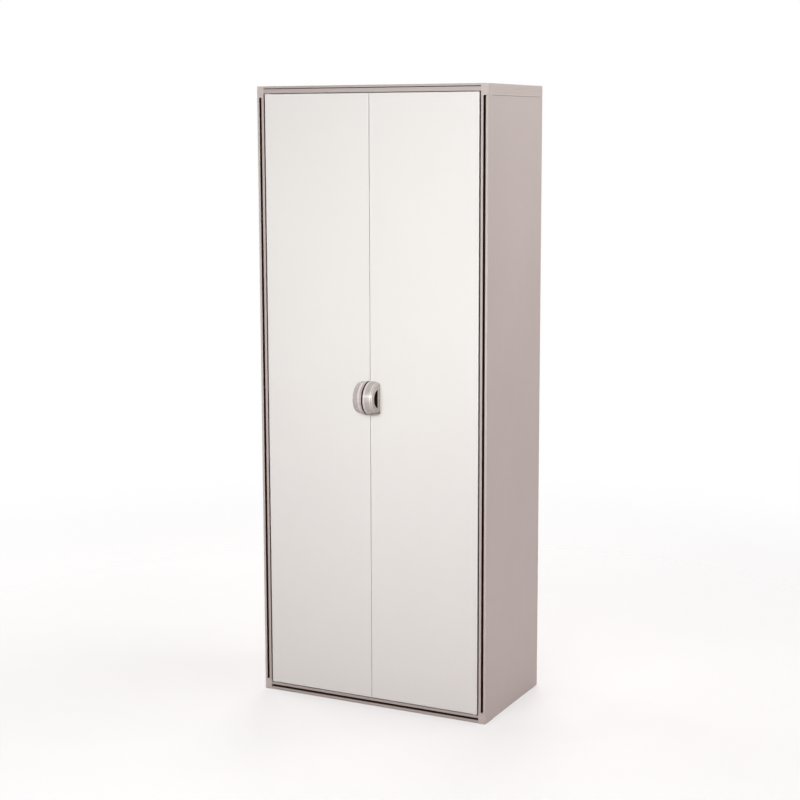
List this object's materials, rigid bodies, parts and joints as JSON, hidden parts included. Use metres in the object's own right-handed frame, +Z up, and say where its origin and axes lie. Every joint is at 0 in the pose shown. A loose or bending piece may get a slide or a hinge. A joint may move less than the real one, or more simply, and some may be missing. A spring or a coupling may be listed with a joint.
{
  "type": "cupboard",
  "caption": "Tall two-door office cupboard with a grooved front frame, inset doors, a round split pull and adjustable shelves.",
  "frame": {"origin": "middle of the carcass footprint, on the floor", "axes": "+X to the right seen from the front, +Y to the rear, +Z up; the doors face -Y"},
  "size_m": [0.8, 0.4911, 1.98],
  "materials": {
    "door_paint": "smooth satin powder coat, cream white",
    "carcass_paint": "fine satin powder coat, warm taupe grey",
    "shelf_paint": "fine satin powder coat, warm taupe grey",
    "inner_paint": "satin powder coat",
    "frame_profile": "extruded, satin powder coat, light taupe",
    "moulded_corner": "fine moulded grain",
    "moulded_pull": "satin moulded",
    "zinc_steel": "bright zinc plated",
    "nylon": "natural nylon",
    "catch_plastic": "moulded, white",
    "groove_trim": "matt black extrusion",
    "rubber": "matt",
    "foot_plastic": "matt black"
  },
  "bodies": {
    "carcass": {"back_panel": "carcass_paint", "back_panel_screws": "zinc_steel", "base_panel": "shelf_paint", "bottom_front_left_connector": "moulded_corner", "bottom_front_rail": "frame_profile", "bottom_front_right_connector": "moulded_corner", "bottom_groove_trim": "groove_trim", "bottom_rear_left_connector": "moulded_corner", "bottom_rear_rail": "frame_profile", "bottom_rear_right_connector": "moulded_corner", "door_buffers": "rubber", "foot_nut_plates": "zinc_steel", "front_left_shelf_upright": "shelf_paint", "front_right_shelf_upright": "shelf_paint", "header_rail": "inner_paint", "hinge_bushes": "nylon", "left_bottom_side_rail": "inner_paint", "left_front_post": "frame_profile", "left_groove_trim": "groove_trim", "left_side_panel": "carcass_paint", "left_top_side_rail": "frame_profile", "magnetic_catches": "catch_plastic", "rear_left_shelf_upright": "shelf_paint", "rear_right_shelf_upright": "shelf_paint", "right_bottom_side_rail": "inner_paint", "right_front_post": "frame_profile", "right_groove_trim": "groove_trim", "right_side_panel": "carcass_paint", "right_top_side_rail": "frame_profile", "shelf_1": "shelf_paint", "shelf_2": "shelf_paint", "shelf_3": "shelf_paint", "shelf_4": "shelf_paint", "shelf_clips": "zinc_steel", "top_front_left_connector": "moulded_corner", "top_front_rail": "frame_profile", "top_front_right_connector": "moulded_corner", "top_groove_trim": "groove_trim", "top_panel": "carcass_paint", "top_rear_left_connector": "moulded_corner", "top_rear_rail": "frame_profile", "top_rear_right_connector": "moulded_corner"},
    "left_door": {"left_door_handle": "moulded_pull", "left_door_panel": "door_paint", "left_door_stiffener": "inner_paint", "left_handle_screws": "zinc_steel", "left_hinge_blocks": "zinc_steel", "left_hinge_pins": "zinc_steel", "left_strike_plate": "zinc_steel"},
    "right_door": {"right_door_handle": "moulded_pull", "right_door_panel": "door_paint", "right_door_stiffener": "inner_paint", "right_handle_screws": "zinc_steel", "right_hinge_blocks": "zinc_steel", "right_hinge_pins": "zinc_steel", "right_strike_plate": "zinc_steel"},
    "front_left_foot": {"front_left_levelling_foot": "foot_plastic"},
    "front_right_foot": {"front_right_levelling_foot": "foot_plastic"},
    "rear_left_foot": {"rear_left_levelling_foot": "foot_plastic"},
    "rear_right_foot": {"rear_right_levelling_foot": "foot_plastic"}
  },
  "joints": [
    {"name": "left_door_hinge", "type": "hinge", "parent": "carcass", "child": "left_door", "pos_m": [-0.3612, -0.2085, 0.99], "axis": [0, 0, 1], "range_deg": [-110, 0]},
    {"name": "right_door_hinge", "type": "hinge", "parent": "carcass", "child": "right_door", "pos_m": [0.3612, -0.2085, 0.99], "axis": [0, 0, 1], "range_deg": [0, 110]},
    {"name": "front_left_foot_adjust", "type": "slide", "parent": "carcass", "child": "front_left_foot", "axis": [0, 0, -1], "range_m": [0, 0.012]},
    {"name": "front_right_foot_adjust", "type": "slide", "parent": "carcass", "child": "front_right_foot", "axis": [0, 0, -1], "range_m": [0, 0.012]},
    {"name": "rear_left_foot_adjust", "type": "slide", "parent": "carcass", "child": "rear_left_foot", "axis": [0, 0, -1], "range_m": [0, 0.012]},
    {"name": "rear_right_foot_adjust", "type": "slide", "parent": "carcass", "child": "rear_right_foot", "axis": [0, 0, -1], "range_m": [0, 0.012]}
  ]
}
